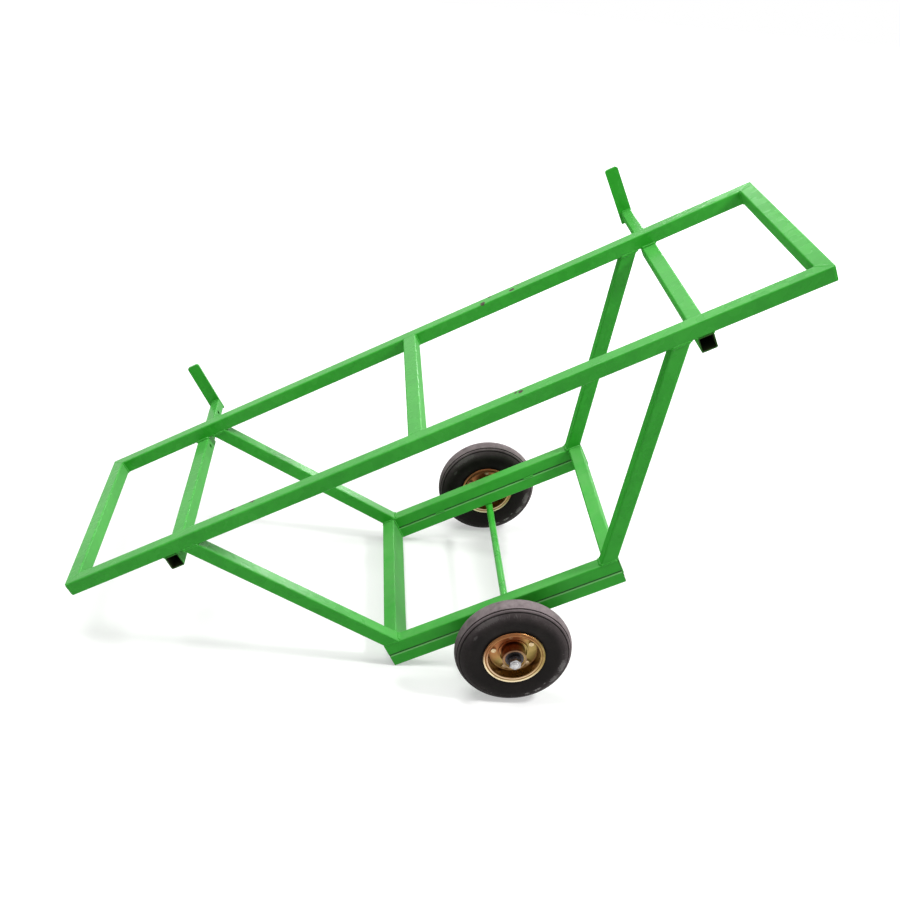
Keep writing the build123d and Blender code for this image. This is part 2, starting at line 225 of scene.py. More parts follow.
def green_paint(name, bore=None, end=None, seam=None):
    """Gloss green enamel with a little mottling, painted sheen on the faces that look up or to the right, dust
    on the lower frame and a few chips.

    The bore of an open tube and its cut end are darkened to a near-black brown, which is painted shade. The
    bore is given by the axes across it and its middles there, the end by the axis along it and its place there,
    and a seam by the height at which two stacked tubes meet. The seam itself is darkened with painted shade,
    and the shoulder below it is lightened with a painted highlight.
    """
    finish = Finish(name)
    level = finish.level()
    x, y, height = finish.split(level)
    facing_x, _, facing_z = finish.split(finish.add("ShaderNodeNewGeometry").outputs["Normal"])
    upward = finish.span(facing_z, 0.25, 0.90)
    low = finish.span(height, 0.40, 0.20)
    mottle = finish.noise(26.0, 1.0)
    tone = finish.total(finish.times(finish.noise(2.3, 2.0), 0.70), finish.times(mottle, 0.30))
    colour = finish.ramp(tone, PAINT_GREENS)
    # Painted sheen: the faces that look up or to the right are lightened towards a pale green, less so low on
    # the frame; dust lies low on the frame
    painted_sheen = finish.times(upward, finish.math("MULTIPLY_ADD", low, -0.045, 0.090))
    painted_sheen = finish.largest(painted_sheen, finish.span(facing_x, 0.60, 0.85, 0.0, 0.135))
    colour = finish.mix(painted_sheen, colour, PAINT_SHEEN)
    dusty = finish.times(upward, low, 0.12, finish.span(finish.noise(9.0, 5.0, 0.65), 0.34, 0.62))
    colour = finish.mix(dusty, colour, PAINT_DUST)
    # Painted light at the seam between two stacked tubes: a painted highlight on the shoulder below it and
    # painted shade in the seam itself
    if seam:
        above = finish.math("SUBTRACT", height, seam * MM)
        shoulder = finish.band(above, -0.0062, -0.0042, -0.0016, -0.0004)
        colour = finish.mix(finish.times(shoulder, 0.60), colour, PAINT_SEAM_HIGHLIGHT)
        seam_shade = finish.band(above, -0.0014, -0.0002, 0.0030, 0.0052)
        colour = finish.mix(finish.times(seam_shade, 0.86), colour, SEAM_SHADE)
    # Chips down to dull steel, with ragged edges
    depths = []
    for *spot, size in CHIPS:
        inputs = {0: level, 1: [value * MM for value in spot]}
        away = finish.add("ShaderNodeVectorMath", inputs, operation="DISTANCE").outputs["Value"]
        depths.append(finish.math("MULTIPLY_ADD", away, -1.0 / (size * MM), 1.0))
    depth = finish.largest(*depths)
    ragged = finish.math("MULTIPLY_ADD", finish.noise(190.0, 3.0, 0.6), 1.125, -0.5625)
    chipped = finish.span(finish.total(depth, ragged), 0.30, 0.42)
    chipped = finish.times(chipped, finish.math("GREATER_THAN", depth, 0.0))
    colour = finish.mix(chipped, colour, CHIP_STEEL)
    # Grime dulls the sides that face the ends of the cart, the undersides and the low frame
    grimes = [
        finish.span(facing_x, -0.55, -0.80, 0.0, 0.62), finish.span(facing_x, 0.60, 0.85, 0.0, 0.42),
        finish.span(facing_z, -0.50, -0.75, 0.0, 0.45), finish.times(low, 0.12),
    ]
    # Painted shade: the bore and the cut end of an open tube are darkened to a near-black brown
    if bore:
        places = {"x": finish.math("ABSOLUTE", x), "y": finish.math("ABSOLUTE", y), "z": height}
        walls = []
        for axis, middles in bore.items():
            walls.append(finish.near(places[axis], [middle * MM for middle in middles], BORE_HALF * MM))
        axis, last = end
        cut = finish.math("GREATER_THAN", places[axis], (last - CUT_DEPTH) * MM)
        bare = finish.times(cut, finish.span(mottle, 0.3, 0.6, 0.55, 0.85))
        dark = finish.largest(finish.times(*walls), bare)
        colour = finish.mix(finish.times(dark, 0.94), colour, finish.mix(mottle, *BORE_SHADE_BROWNS))
        grimes.append(finish.times(dark, 0.65))
    dull = finish.math("MULTIPLY_ADD", finish.total(dusty, chipped), 0.35, finish.largest(*grimes))
    roughness = finish.math("ADD", finish.span(mottle, 0.3, 0.7, 0.23, 0.31), dull, clamp=True)
    peel = finish.bump(finish.noise(330.0, 2.0), 0.010, 0.2)
    waves = finish.bump(finish.noise(21.0, 1.0), 0.02, 1.0, peel)
    normal = finish.bump(finish.math("SUBTRACT", 1.0, chipped), 0.5, 0.25, waves)
    finish.set(Base_Color=colour, Roughness=roughness, Normal=normal, Specular_IOR_Level=PAINT_GLOSS)
    return finish.material


ZINC_FILM_AND_SHADE = (
    (0.18, (0.50, 0.34, 0.14)), (0.36, (0.29, 0.215, 0.070)), (0.54, (0.37, 0.205, 0.075)),
    (0.80, (0.31, 0.120, 0.048)),
)
LIP_HIGHLIGHT_STRAW, RIDGE_HIGHLIGHT_STRAW = (0.92, 0.78, 0.52), (0.82, 0.60, 0.42)
HUB_BROWN, RIM_DARK_BROWN = (0.24, 0.150, 0.095), (0.150, 0.064, 0.025)


def yellow_zinc():
    """Yellow passivated zinc, which runs from straw and gold to copper and olive, with painted shade of darker
    copper on the upper side, painted highlights of straw on the lower half of the lip and the ridge, and darker
    brown in the groove and along the barrel.
    """
    finish = Finish("yellow_zinc")
    turn, out, radius = finish.wheel_place()
    cloud = finish.noise(16.0, 4.0, 0.6, 0.6)
    # Painted shade: the film turns to a darker copper towards the upper side of the wheel
    upper_shade = finish.span(finish.math("SINE", finish.math("ADD", turn, -0.75)), -0.35, 0.85)
    lower = finish.span(finish.math("SINE", finish.math("ADD", turn, 0.25)), 0.10, -0.80)
    colour = finish.ramp(finish.total(finish.times(upper_shade, 0.46), finish.times(cloud, 0.60)), ZINC_FILM_AND_SHADE)
    # Painted highlight of bright straw on the lower half of the rolled lip, and a dull brown end on the hub
    lip = finish.span(radius, 0.0800, 0.0815)
    colour = finish.mix(finish.times(lip, lower, 0.92), colour, LIP_HIGHLIGHT_STRAW)
    mouth = finish.times(finish.span(out, 0.0435, 0.0443), finish.span(radius, 0.0345, 0.0335, 0.0, 0.8))
    colour = finish.mix(mouth, colour, HUB_BROWN)
    # Darker brown in the groove behind the lip and along the barrel and in stains all over, and a painted
    # highlight of straw on the lower half of the ridge between them
    groove = finish.band(radius, 0.0750, 0.0770, 0.0790, 0.0805)
    barrel = finish.band(radius, 0.0625, 0.0665, 0.0730, 0.0745)
    hollow_darkening = finish.times(finish.largest(groove, barrel), finish.span(cloud, 0.25, 0.65, 0.55, 0.85))
    stain = finish.span(finish.noise(30.0, 5.0, 0.7), 0.56, 0.75, 0.0, 0.45)
    colour = finish.mix(finish.largest(hollow_darkening, stain), colour, RIM_DARK_BROWN)
    ridge = finish.band(radius, 0.0722, 0.0732, 0.0757, 0.0770)
    colour = finish.mix(finish.times(ridge, lower, 0.62), colour, RIDGE_HIGHLIGHT_STRAW)
    turned = finish.bump(finish.rings(radius, 210.0, 1.5), 0.03, 0.2)
    normal = finish.bump(finish.noise(95.0, 3.0), 0.06, 0.3, turned)
    dull = finish.times(finish.largest(lip, mouth), 0.16)
    roughness = finish.total(finish.span(cloud, 0.3, 0.75, 0.24, 0.38), dull)
    finish.set(Base_Color=colour, Metallic=1.0, Roughness=roughness, Normal=normal)
    return finish.material


def bright_metal(name, colour, stained, low, high, speck=70.0):
    """Zinc or steel with a grey bloom and fine scratches, rough from low to high."""
    finish = Finish(name)
    bloom = finish.noise(speck, 4.0, 0.6)
    tone = finish.mix(finish.span(bloom, 0.42, 0.72), colour, stained)
    scratch = finish.noise(420.0, 2.0, 0.5, 1.2)
    finish.set(Base_Color=tone, Metallic=1.0, Roughness=finish.span(bloom, 0.3, 0.7, low, high),
               Normal=finish.bump(scratch, 0.08, 0.15))
    return finish.material


AXLE_GREENS = ((0.3, (0.024, 0.330, 0.022)), (0.7, (0.052, 0.445, 0.042)))
AXLE_METALS = (0.58, 0.57, 0.58), (0.28, 0.27, 0.27)


def axle_finish():
    """The axle bar: green between the wheels, bright zinc on the journals and threads."""
    finish = Finish("axle_bar")
    across = finish.math("ABSOLUTE", finish.split(finish.place)[1])
    ragged = finish.times(finish.noise(55.0, 4.0), 0.008)
    bare = finish.span(finish.total(across, ragged), 0.404, 0.410)
    mottle = finish.noise(26.0, 4.0)
    metal = finish.mix(finish.span(finish.noise(140.0, 4.0), 0.4, 0.7), *AXLE_METALS)
    colour = finish.mix(bare, finish.ramp(mottle, AXLE_GREENS), metal)
    finish.set(Base_Color=colour, Metallic=bare, Roughness=finish.span(mottle, 0.3, 0.7, 0.24, 0.36),
               Normal=finish.bump(mottle, 0.1, 0.4))
    return finish.material


RUBBERS = (0.0050, 0.0042, 0.0040), (0.0135, 0.0105, 0.0095)
TREAD_DUSTS = (0.165, 0.132, 0.138), (0.330, 0.278, 0.288)
STREAK_GREY, SCUFF_GREY, TYRE_FILM = (0.17, 0.155, 0.15), (0.30, 0.285, 0.28), (0.10, 0.078, 0.074)
TYRE_GLOSS = 0.10
# Middles of the shoulder grooves and half of their width, in degrees from the side of the tyre to its crown
TYRE_GROOVES, GROOVE_HALF = (58.0, 42.0), 2.6
# Scuffs on the shoulders of the tyres, in degrees: round the wheel, round the section, half of each width,
# and how much of the rubber each one hides
SCUFFS = (
    (-8, 22, 11.0, 18.0, 0.42), (-28, 20, 8.0, 14.0, 0.42), (-52, 14, 6.0, 7.0, 0.72),
    (-66, 16, 4.0, 5.0, 0.60), (-40, 5, 2.2, 3.5, 0.50), (128, 30, 22.0, 16.0, 0.16),
    (152, 10, 5.0, 7.0, 0.16),
)


def tyre_rubber():
    """Black-brown rubber with a dusty grey tread that is darker on the lower left as painted shade, dark
    shoulder grooves and grey scuffs.
    """
    finish = Finish("tyre_rubber")
    turn, out, radius = finish.wheel_place()
    rise = finish.math("ARCTAN2", finish.math("SUBTRACT", radius, SECTION_CENTRE * MM), out)
    angle = finish.times(rise, DEGREES)
    cloud = finish.noise(20.0, 5.0, 0.65)
    # Dust covers the tread, most of it on top, thins out below the shoulder and leaves the grooves dark
    bent = finish.total(angle, finish.math("MULTIPLY_ADD", cloud, 9.0, -4.5))
    tread = finish.largest(finish.span(bent, 34.0, 64.0), finish.span(bent, -10.0, 46.0, 0.0, 0.24))
    clear = finish.math("MULTIPLY_ADD", finish.near(angle, TYRE_GROOVES, GROOVE_HALF), -0.92, 1.0)
    thick = finish.span(finish.noise(34.0, 5.0, 0.7), 0.22, 0.58, 0.55, 0.95)
    # Painted shade: less dust, so darker rubber, on the lower left of the wheel
    lit_share = finish.span(finish.math("COSINE", finish.math("ADD", turn, -0.87)), -0.80, 0.05, 0.22, 1.0)
    dust_and_shade = finish.times(tread, clear, thick, lit_share)
    dust = finish.mix(finish.noise(55.0, 4.0, 0.7), *TREAD_DUSTS)
    colour = finish.mix(dust_and_shade, finish.mix(cloud, *RUBBERS), dust)
    # Streaks across the shoulder where it has rubbed on the ground
    around = {0: finish.times(turn, 18.0), 1: finish.times(radius, 60.0)}
    around = finish.add("ShaderNodeCombineXYZ", around).outputs[0]
    streak = finish.span(finish.noise(1.0, 3.0, 0.6, 0.4, around), 0.56, 0.72)
    shoulder = finish.band(angle, 4.0, 18.0, 30.0, 42.0)
    patchy = finish.span(finish.noise(7.0, 2.0), 0.46, 0.60)
    colour = finish.mix(finish.times(streak, shoulder, patchy, 0.55), colour, STREAK_GREY)
    # Scuffs with torn edges
    turned = finish.times(turn, DEGREES)
    torn = finish.math("MULTIPLY_ADD", finish.noise(1.9, 4.0, 0.7, 0.8, around), 3.0, -1.5)
    patches = []
    for along, up, half_along, half_up, share in SCUFFS:
        aside = finish.math("MULTIPLY_ADD", turned, 1.0 / half_along, -along / half_along)
        above = finish.math("MULTIPLY_ADD", angle, 1.0 / half_up, -up / half_up)
        depth = finish.math("SUBTRACT", 1.0, finish.squares(aside, above))
        patches.append(finish.span(finish.total(depth, torn), 0.05, 0.95, 0.0, share))
    colour = finish.mix(finish.largest(*patches), colour, SCUFF_GREY)
    film = finish.times(finish.span(finish.noise(13.0, 4.0, 0.6), 0.45, 0.75), 0.10)
    colour = finish.mix(film, colour, TYRE_FILM)
    fine = finish.noise(240.0, 4.0, 0.6)
    roughness = finish.total(finish.span(fine, 0.3, 0.7, 0.46, 0.60), finish.times(dust_and_shade, 0.30))
    normal = finish.bump(fine, 0.22, 0.35, finish.bump(cloud, 0.12, 1.0))
    finish.set(Base_Color=colour, Roughness=roughness, Normal=normal, Specular_IOR_Level=TYRE_GLOSS)
    return finish.material


def plain_rubber(name, dark, light, low, high):
    """Clouded rubber, rough from low to high."""
    finish = Finish(name)
    cloud = finish.noise(45.0, 4.0, 0.6)
    grain = finish.bump(finish.noise(300.0, 3.0), 0.2, 0.3)
    finish.set(Base_Color=finish.mix(cloud, dark, light), Roughness=finish.span(cloud, 0.3, 0.7, low, high),
               Normal=grain)
    return finish.material


VALVE_BRASSES = (0.62, 0.44, 0.16), (0.78, 0.60, 0.28)
VALVE_RUBBERS = (0.012, 0.012, 0.012), (0.03, 0.028, 0.026)


def valve_finish():
    """Rubber boot near the rim, threaded brass stem nearer the axle."""
    finish = Finish("valve_body")
    _, _, radius = finish.wheel_place()
    stem = finish.span(radius, 0.0585, 0.0575)
    mottle = finish.noise(220.0, 3.0)
    colour = finish.mix(stem, finish.mix(mottle, *VALVE_RUBBERS), finish.mix(mottle, *VALVE_BRASSES))
    thread = finish.times(finish.rings(radius, 310.0), stem)
    finish.set(Base_Color=colour, Metallic=stem, Roughness=finish.span(stem, 0, 1, 0.6, 0.3),
               Normal=finish.bump(thread, 0.4, 0.4))
    return finish.material


BEARER_BORE, BEARER_END = {"x": (BEARER_X,), "z": (BEARER_Z,)}, ("y", RAIL_OUT)
SILL_BORE, SILL_END = {"y": (SILL_Y,), "z": SILL_TUBES_Z}, ("x", FOOT_END)
paint = green_paint("green_paint")
axle_metal = axle_finish()
rubber_tyre = tyre_rubber()
finishes = {
    "green_paint": paint,
    "yellow_zinc": yellow_zinc(),
    "bright_zinc": bright_metal("bright_zinc", (0.42, 0.41, 0.42), (0.13, 0.12, 0.125), 0.18, 0.34, 95.0),
    "dark_steel": bright_metal("dark_steel", (0.060, 0.052, 0.058), (0.020, 0.018, 0.020), 0.28, 0.45),
    # The bearings are coloured near-black: painted shade inside the hubs
    "bearing_steel": bright_metal("bearing_steel", (0.070, 0.060, 0.066), (0.026, 0.022, 0.024),
                                  0.28, 0.44, 140.0),
    "bearing_seal": plain_rubber("bearing_seal", (0.008, 0.007, 0.008), (0.020, 0.017, 0.018), 0.42, 0.57),
    "tyre": rubber_tyre,
    "inner_tube": plain_rubber("inner_tube", (0.020, 0.020, 0.020), (0.045, 0.043, 0.042), 0.55, 0.70),
    "valve": valve_finish(),
}
# Nodes whose names start like this have a finish of their own
special = {
    "bearer": green_paint("green_paint_bearer", BEARER_BORE, BEARER_END),
    "sill": green_paint("green_paint_sill", SILL_BORE, SILL_END, SILL_SEAM),
    "rim_bolts": bright_metal("straw_zinc", (0.60, 0.46, 0.28), (0.30, 0.20, 0.10), 0.22, 0.38),
}
special["rim_nuts"] = special["rim_bolts"]
for subpart in frame["record"]["subparts"]:
    name = subpart["node"]
    finish = finishes[subpart["material_slot"]]
    for start, other in special.items():
        if name.startswith(start):
            finish = other
    shape = nodes[name]
    shape.data.materials.clear()
    shape.data.materials.append(finish)


# Pieces


def make_piece(name, vertices, faces, finish, body, smooth=True):
    """A mesh in frame coordinates that rides on a body."""
    mesh = bpy.data.meshes.new(name)
    mesh.from_pydata([tuple(v) for v in vertices], [], faces)
    mesh.materials.append(finish)
    if smooth:
        mesh.polygons.foreach_set("use_smooth", [True] * len(mesh.polygons))
    mesh.update()
    piece = bpy.data.objects.new(name, mesh)
    bpy.context.scene.collection.objects.link(piece)
    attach(piece, body)
    return piece


def loft(rings, vertices, faces):
    """Joins rings of points of equal number into a skin that is closed at both ends."""
    count = len(rings[0])
    start = len(vertices)
    for ring in rings:
        vertices.extend(ring)
    for row in range(len(rings) - 1):
        for side in range(count):
            a = start + row * count + side
            b = start + row * count + (side + 1) % count
            faces.append((a, b, b + count, a + count))
    faces.append(tuple(reversed(range(start, start + count))))
    last = start + (len(rings) - 1) * count
    faces.append(tuple(range(last, last + count)))


# Weld beads: a run of overlapping ripples along the corner between two tubes
BEAD_SIDES, RIPPLE, RIPPLE_STEPS = 10, 3.4, 5
# Shares of a bead's radius: its body, a ripple's crest, how it swells and strays, its tip and the tip's slope
BODY, CREST, SWELL, STRAY, TIP, TIP_SLOPE = 0.90, 0.16, 0.05, 0.12, 0.35, 3.0 / 2.6


def bead(start, end, radius, vertices, faces, flat=1.0):
    """One bead from start to end on the level cart.

    A flat below 1 presses the bead down, or sideways if it is upright.
    """
    start, end = Vector(start), Vector(end)
    along = (end - start).normalized()
    face = Vector((1, 0, 0)) if abs(along.z) > 0.5 else Vector((0, 0, 1))
    across = face.cross(along).normalized()
    up = along.cross(across)
    length = (end - start).length
    steps = max(8, int(length / RIPPLE) * RIPPLE_STEPS)
    phase = random.random()
    wander = [random.uniform(-1, 1) for _ in range(steps // 8 + 3)]
    rings = []
    for step in range(steps + 1):
        s = step / steps
        knot = s * (len(wander) - 2)
        low = int(knot)
        drift = wander[low] + (wander[low + 1] - wander[low]) * (knot - low)
        wave = (s * length / RIPPLE + phase) % 1.0
        ripple = BODY + CREST * math.sqrt(1.0 - wave) + SWELL * drift
        taper = min(1.0, TIP + TIP_SLOPE * min(s, 1.0 - s) * length / radius)
        size = radius * ripple * taper
        centre = start.lerp(end, s) + across * (STRAY * radius * drift)
        ring = []
        for side in range(BEAD_SIDES):
            angle = 2 * math.pi * side / BEAD_SIDES
            aside = across * (size * math.cos(angle))
            ring.append(rested(centre + aside + up * (flat * size * math.sin(angle))))
        rings.append(ring)
    loft(rings, vertices, faces)


DECK, LEGS, LOWER = "deck_weld_beads", "leg_weld_beads", "lower_frame_weld_beads"
# A run stops short of a tube's rounded corner, and some lie a little inside the tubes
SHORT, MITRE_SHORT, MITRE_IN, LEG_IN = 3.0, 6.0, 2.8, 2.9
# Short runs that hold the two tubes of a sill together, and the place of the run along the axle
SILL_RUNS, SILL_RUN_LENGTH, SILL_RUN_IN = (140.0, FOOT_END - 42.0), 34.0, 0.6
AXLE_RUN_X, AXLE_RUN_Z = 7.8, SILL_BOTTOM - 2.6


def quarter_runs():
    """Weld runs in one quarter of the level frame: piece, start, end, radius and how flat."""
    # Deck corners: upright inside the mitre, ground seams above and below it, and upright outside
    low, high = DECK_BOTTOM + SHORT, DECK_TOP - SHORT
    x, y = DECK_END - MITRE_SHORT, RAIL_OUT - MITRE_SHORT
    yield DECK, (DECK_END_IN, RAIL_IN, low), (DECK_END_IN, RAIL_IN, high), 3.4, 1.0
    yield DECK, (DECK_END_IN, RAIL_IN, DECK_TOP - 0.2), (x, y, DECK_TOP - 0.2), 3.2, 0.22
    yield DECK, (DECK_END_IN, RAIL_IN, DECK_BOTTOM), (x, y, DECK_BOTTOM), 3.4, 0.45
    x, y = DECK_END - MITRE_IN, RAIL_OUT - MITRE_IN
    yield DECK, (x, y, DECK_BOTTOM + 4), (x, y, DECK_TOP - 4), 1.8, 1.0
    # Middle bar against the rails
    yield DECK, (MIDDLE_BAR_HALF, RAIL_IN, low), (MIDDLE_BAR_HALF, RAIL_IN, high), 3.2, 1.0
    # Bearers under the rails
    for x in (BEARER_IN, BEARER_OUT):
        yield DECK, (x, RAIL_IN, DECK_BOTTOM), (x, RAIL_OUT, DECK_BOTTOM), 3.4, 1.0
    z = DECK_BOTTOM + 1.5
    yield DECK, (BEARER_IN, RAIL_IN, z), (BEARER_OUT, RAIL_IN, z), 3.6, 1.0
    # Legs under the rails and on the sills
    for y in (RAIL_IN + LEG_IN, RAIL_OUT - LEG_IN):
        yield LEGS, (LEG_TOP_IN, y, DECK_BOTTOM), (LEG_TOP_OUT, y, DECK_BOTTOM), 5.0, 1.0
        yield LEGS, (LEG_FOOT_IN, y, SILL_TOP), (FOOT_END - 2, y, SILL_TOP), 4.8, 1.0
    near, far = RAIL_IN + SHORT, RAIL_OUT - SHORT
    for x in (LEG_TOP_IN, LEG_TOP_OUT):
        yield LEGS, (x, near, DECK_BOTTOM), (x, far, DECK_BOTTOM), 5.0, 1.0
    yield LEGS, (LEG_FOOT_IN, near, SILL_TOP), (LEG_FOOT_IN, far, SILL_TOP), 4.6, 1.0
    # Cross bars against the sills
    low, high = SILL_BOTTOM + SHORT, SILL_TOP - SHORT
    for x, radius in ((CROSS_IN, 4.4), (FOOT_END - 1, 3.0)):
        yield LOWER, (x, RAIL_IN, low), (x, RAIL_IN, high), radius, 1.0
    z = SILL_TOP - 1.2
    yield LOWER, (CROSS_IN + SHORT, RAIL_IN, z), (FOOT_END - SHORT, RAIL_IN, z), 4.0, 1.0
    # The two tubes of a sill, and the axle under it
    y = RAIL_IN + SILL_RUN_IN
    for x in SILL_RUNS:
        yield LOWER, (x, y, SILL_SEAM), (x + SILL_RUN_LENGTH, y, SILL_SEAM), 3.2, 1.0
    x, z = AXLE_RUN_X, AXLE_RUN_Z
    yield LOWER, (x, RAIL_IN + 2, z), (x, RAIL_OUT - 2, z), 3.6, 1.0


frame_welds = {DECK: ([], []), LEGS: ([], []), LOWER: ([], [])}
for y_way in (-1, 1):
    for x_way in (-1, 1):
        for name, *ends, radius, flat in quarter_runs():
            ends = [(x_way * x, y_way * y, z) for x, y, z in ends]
            bead(*ends, radius, *frame_welds[name], flat)
    # Middle bar, under it and on top
    for z, radius, flat in ((DECK_BOTTOM + 1.5, 3.2, 1.0), (DECK_TOP - 1.0, 3.0, 0.5)):
        ends = [(x, y_way * RAIL_IN, z) for x in (2 - MIDDLE_BAR_HALF, MIDDLE_BAR_HALF - 2)]
        bead(*ends, radius, *frame_welds[DECK], flat)

for name, welds in frame_welds.items():
    make_piece(name, *welds, paint, "frame")

STAKE_HALF, STAKE_Z, STAKE_BEAD = 16.0, 757.8, 2.8
for end, x, y in (("left", -BEARER_X, 603.0), ("right", BEARER_X, 663.0)):
    welds = ([], [])
    reach = STAKE_HALF - 2
    for way in (-1, 1):
        side = x + way * STAKE_HALF
        flat = 0.4 if way > 0 else 1.0
        bead((side, y, STAKE_Z - reach), (side, y, STAKE_Z + reach), STAKE_BEAD, *welds, flat)
        edge = STAKE_Z + way * STAKE_HALF
        bead((x - reach, y, edge), (x + reach, y, edge), STAKE_BEAD, *welds)
    make_piece(f"stake_weld_beads_{end}", *welds, paint, f"stake_{end}")


# Wheels: tyres with shoulder grooves and moulded rings
TYRE_STEPS, WALL_STEPS, CROWN_STEPS, PLAIN_STEP, HOLLOW_STEPS = 192, 12, 180, 6, 32
BEAD_OUT, BEAD_IN, BEAD_FOOT, BEAD_TOP = 31.7, 20.7, 73.9, 85.8
BEAD_CHAMFER, BEAD_TOE = 1.0, 1.2
# Radius, half width and height of the ring beside the rim
RIM_RING, RIM_RING_HALF, RIM_RING_HEIGHT = 93.5, 1.6, 0.7
# Angle from the side of the tyre to its crown, half width and depth of each groove; a ridge is less than 0
TYRE_LINES = tuple((angle, GROOVE_HALF, 2.0) for angle in TYRE_GROOVES)
TYRE_LINES += ((50.0, 3.6, -0.5), (24.0, 1.1, -0.5), (19.0, 1.1, -0.5), (90.0, 0.7, -0.25))
LINE_MARGIN = 0.6


def plain(angle):
    """Whether the tyre has no groove or ridge at an angle."""
    return all(abs(angle - middle) > half + LINE_MARGIN for middle, half, _ in TYRE_LINES)


def tyre_outline():
    """Half of the tyre's section, from a bead's foot to the crown: distance from the middle and radius."""
    outline = [(BEAD_OUT, BEAD_FOOT + BEAD_CHAMFER), (BEAD_OUT, BEAD_TOP)]
    sag = SECTION_CENTRE - BEAD_TOP
    drop = SECTION_RADIUS - BEAD_OUT
    curve = (sag * sag + drop * drop) / (2 * drop)
    reach = math.asin(sag / curve)
    for step in range(1, WALL_STEPS):
        angle = reach * (1 - step / WALL_STEPS)
        offset = SECTION_RADIUS - curve + curve * math.cos(angle)
        radius = SECTION_CENTRE - curve * math.sin(angle)
        ring = RIM_RING_HEIGHT * math.exp(-((radius - RIM_RING) / RIM_RING_HALF) ** 2)
        outline.append((offset + ring, radius))
    for step in range(CROWN_STEPS + 1):
        angle = 90.0 * step / CROWN_STEPS
        if plain(angle) and step % PLAIN_STEP:
            continue
        size = SECTION_RADIUS
        for middle, half, depth in TYRE_LINES:
            away = abs(angle - middle) / half
            if away < 1:
                size -= depth * math.sqrt(1 - away * away)
        turn = math.radians(angle)
        outline.append((size * math.cos(turn), SECTION_CENTRE + size * math.sin(turn)))
    return outline


def tyre_section():
    """The closed section of the tyre, with its hollow open towards the axle."""
    half = tyre_outline()
    section = half + [(-offset, radius) for offset, radius in reversed(half[:-1])]
    hollow = SECTION_RADIUS - TYRE_WALL
    corner = math.degrees(math.asin(math.sqrt(hollow ** 2 - BEAD_IN ** 2) / hollow))
    section.append((-BEAD_OUT + BEAD_CHAMFER, BEAD_FOOT))
    section.append((-BEAD_IN, BEAD_FOOT - BEAD_TOE))
    for step in range(HOLLOW_STEPS + 1):
        turn = math.radians(180 + corner - (180 + 2 * corner) * step / HOLLOW_STEPS)
        section.append((hollow * math.cos(turn), SECTION_CENTRE + hollow * math.sin(turn)))
    section.append((BEAD_IN, BEAD_FOOT - BEAD_TOE))
    section.append((BEAD_OUT - BEAD_CHAMFER, BEAD_FOOT))
    return section


def spun(section, y, steps):
    """Turns a closed section of (distance along the axle, radius) round the axle."""
    vertices, faces = [], []
    count = len(section)
    for step in range(steps):
        angle = 2 * math.pi * step / steps
        for offset, radius in section:
            point = (radius * math.cos(angle), y + offset, AXLE_Z + radius * math.sin(angle))
            vertices.append(Vector(point) * MM)
    for step in range(steps):
        for index in range(count):
            a = step * count + index
            b = step * count + (index + 1) % count
            c = (step + 1) % steps * count + (index + 1) % count
            d = (step + 1) % steps * count + index
            faces.append((a, d, c, b))
    return vertices, faces


for side, way in (("near", -1), ("far", 1)):
    skin = spun(tyre_section(), way * WHEEL_Y, TYRE_STEPS)
    tyre = make_piece(f"tyre_{side}_moulded", *skin, rubber_tyre, f"wheel_{side}")
    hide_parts(f"tyre_{side}")


# Axle bar with cut threads on both ends
AXLE_STEPS, THREAD_STEP = 72, 0.25
AXLE_RADIUS, JOURNAL_RADIUS, TIP_RADIUS = 11.0, 10.0, 8.2
JOURNAL_START, THREAD_START, AXLE_TIP = 409.5, 494.0, 520.0
THREAD_PITCH, THREAD_DEPTH, THREAD_FLANK = 2.5, 1.25, 1.25


def axle_radius(along, turn):
    """Radius of the bar at a distance from its middle; the thread runs round as it goes along."""
    if along < JOURNAL_START:
        return AXLE_RADIUS
    if along < THREAD_START:
        return JOURNAL_RADIUS
    wave = (along / THREAD_PITCH - turn / (2 * math.pi)) % 1.0
    cut = THREAD_DEPTH * min(1.0, abs(2 * wave - 1) * THREAD_FLANK)
    return min(JOURNAL_RADIUS - cut, TIP_RADIUS + (AXLE_TIP - along))


def axle_rings():
    """Rings of points round the bar, close together along the threads."""
    stops = [0.0, JOURNAL_START - 0.1, JOURNAL_START + 0.1, THREAD_START - 0.2]
    count = int((AXLE_TIP - THREAD_START) / THREAD_STEP)
    stops += [THREAD_START + (AXLE_TIP - THREAD_START) * step / count for step in range(count + 1)]
    stops = [-stop for stop in reversed(stops[1:])] + stops
    rings = []
    for y in stops:
        ring = []
        for step in range(AXLE_STEPS):
            turn = 2 * math.pi * step / AXLE_STEPS
            radius = axle_radius(abs(y), turn)
            ring.append(Vector((radius * math.cos(turn), y, AXLE_Z + radius * math.sin(turn))) * MM)
        rings.append(ring)
    return rings


axle_skin = ([], [])
loft([list(reversed(ring)) for ring in axle_rings()], *axle_skin)
axle_bar = make_piece("axle_threaded", *axle_skin, axle_metal, "frame", smooth=False)
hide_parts("axle")


# Floor, light and camera, in metres
FLOOR_HALF, FLOOR_GREYS = 14.0, ((0.60, 0.60, 0.595), (0.63, 0.63, 0.625))
# Strength of the soft light from the left and from the right
SOFT_LIGHT = 0.22, 0.54
WHITE = (1, 1, 1, 1)
# Name, place, the point that it shines at, size and power in watts
LAMPS = (
    ("overhead", (-3.4, 0.6, 9.0), (-0.3, 0.1, 0.6), 5.6, 590.0),
    ("side", (3.6, -1.0, 5.2), (-0.3, 0.0, 0.5), 1.1, 262.0),
    ("back", (0.85, 3.0, 1.5), (-0.6, 0.0, 0.25), 0.6, 20.0),
)


